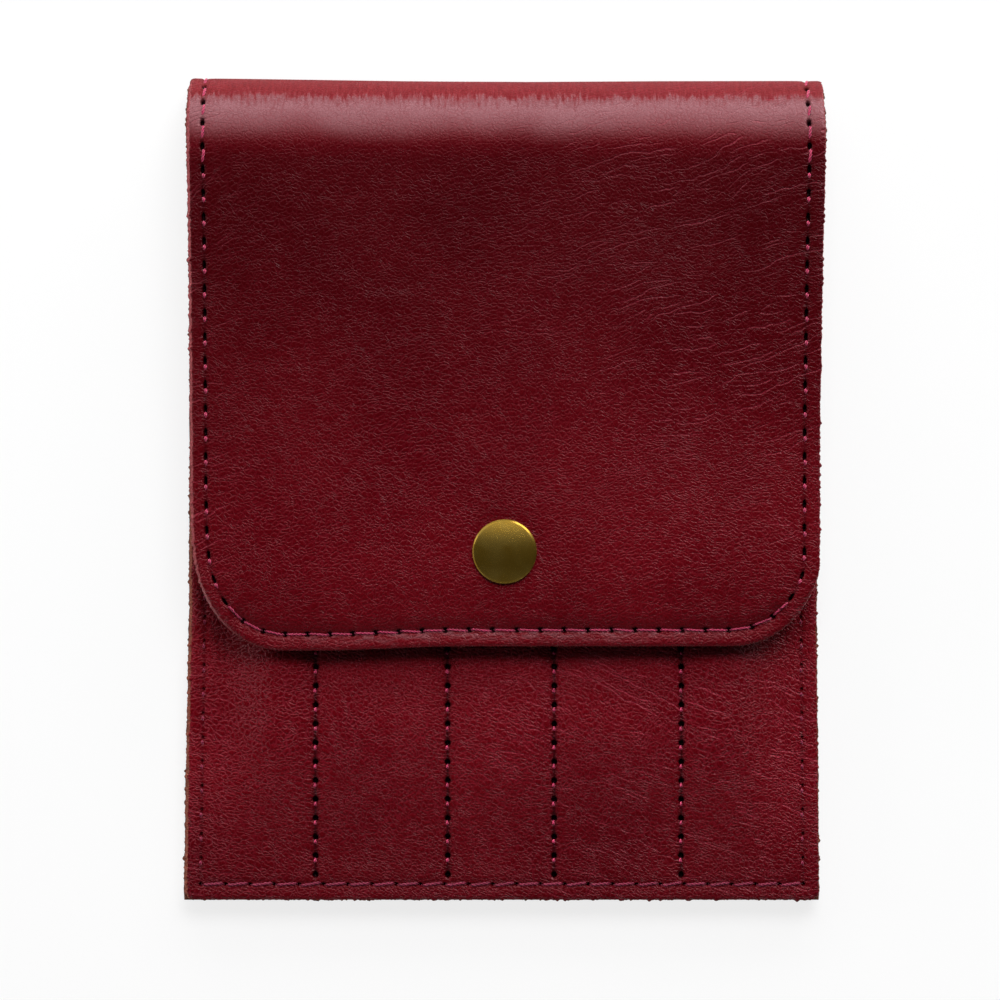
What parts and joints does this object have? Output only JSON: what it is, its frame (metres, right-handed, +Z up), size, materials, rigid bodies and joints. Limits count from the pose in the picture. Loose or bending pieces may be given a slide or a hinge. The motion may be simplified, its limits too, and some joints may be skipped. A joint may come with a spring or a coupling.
{
  "type": "knitting needle case",
  "caption": "Flat leather case for interchangeable knitting needle tips: sewn needle pockets under a fold-over flap that a brass snap closes.",
  "frame": {"origin": "under the middle of the closed case, on the underside of the back panel that it lies on", "axes": "+X across the case, +Y along it towards the fold, +Z up from the back panel to the flap"},
  "size_m": [0.125, 0.162, 0.016],
  "materials": {
    "outer_leather": "burgundy grain leather with a soft sheen and raw cut edges",
    "lining_leather": "red-brown suede",
    "snap_brass": "antique, dark in the hollows",
    "spring_steel": "plain spring wire",
    "thread": "twisted magenta sewing thread"
  },
  "bodies": {
    "case": {"back_panel": "outer_leather", "back_lining": "lining_leather", "pocket_backing": "lining_leather", "front_panel": "outer_leather", "snap_stud": "snap_brass", "stud_eyelet": "snap_brass", "pocket_seam_thread": "thread", "back_seam_thread": "thread", "pocket_thread_1": "thread", "pocket_thread_2": "thread", "pocket_thread_3": "thread", "pocket_thread_4": "thread"},
    "fold_1": {"fold_leather_1": "outer_leather", "fold_lining_1": "lining_leather"},
    "fold_2": {"fold_leather_2": "outer_leather", "fold_lining_2": "lining_leather"},
    "fold_3": {"fold_leather_3": "outer_leather", "fold_lining_3": "lining_leather"},
    "flap": {"flap_leather": "outer_leather", "flap_lining": "lining_leather", "snap_cap": "snap_brass", "snap_socket": "snap_brass", "socket_spring": "spring_steel", "flap_seam_thread": "thread", "flap_seam_under_thread": "thread"}
  },
  "joints": [
    {"name": "fold_bend_1", "type": "hinge", "parent": "case", "child": "fold_1", "pos_m": [0, 0.07914, 0.00037], "axis": [-1, 0, 0], "range_deg": [0, 53]},
    {"name": "fold_bend_2", "type": "hinge", "parent": "fold_1", "child": "fold_2", "pos_m": [0, 0.08096, 0.00287], "axis": [-1, 0, 0], "range_deg": [0, 53]},
    {"name": "fold_bend_3", "type": "hinge", "parent": "fold_2", "child": "fold_3", "pos_m": [0, 0.07879, 0.00846], "axis": [-1, 0, 0], "range_deg": [0, 35]},
    {"name": "flap_bend", "type": "hinge", "parent": "fold_3", "child": "flap", "pos_m": [0, 0.07159, 0.0137], "axis": [-1, 0, 0], "range_deg": [0, 35]}
  ],
  "couplings": [
    {"joint": "fold_bend_1", "follows": "flap_bend", "ratio": 1.5143},
    {"joint": "fold_bend_2", "follows": "flap_bend", "ratio": 1.5143},
    {"joint": "fold_bend_3", "follows": "flap_bend", "ratio": 1}
  ]
}
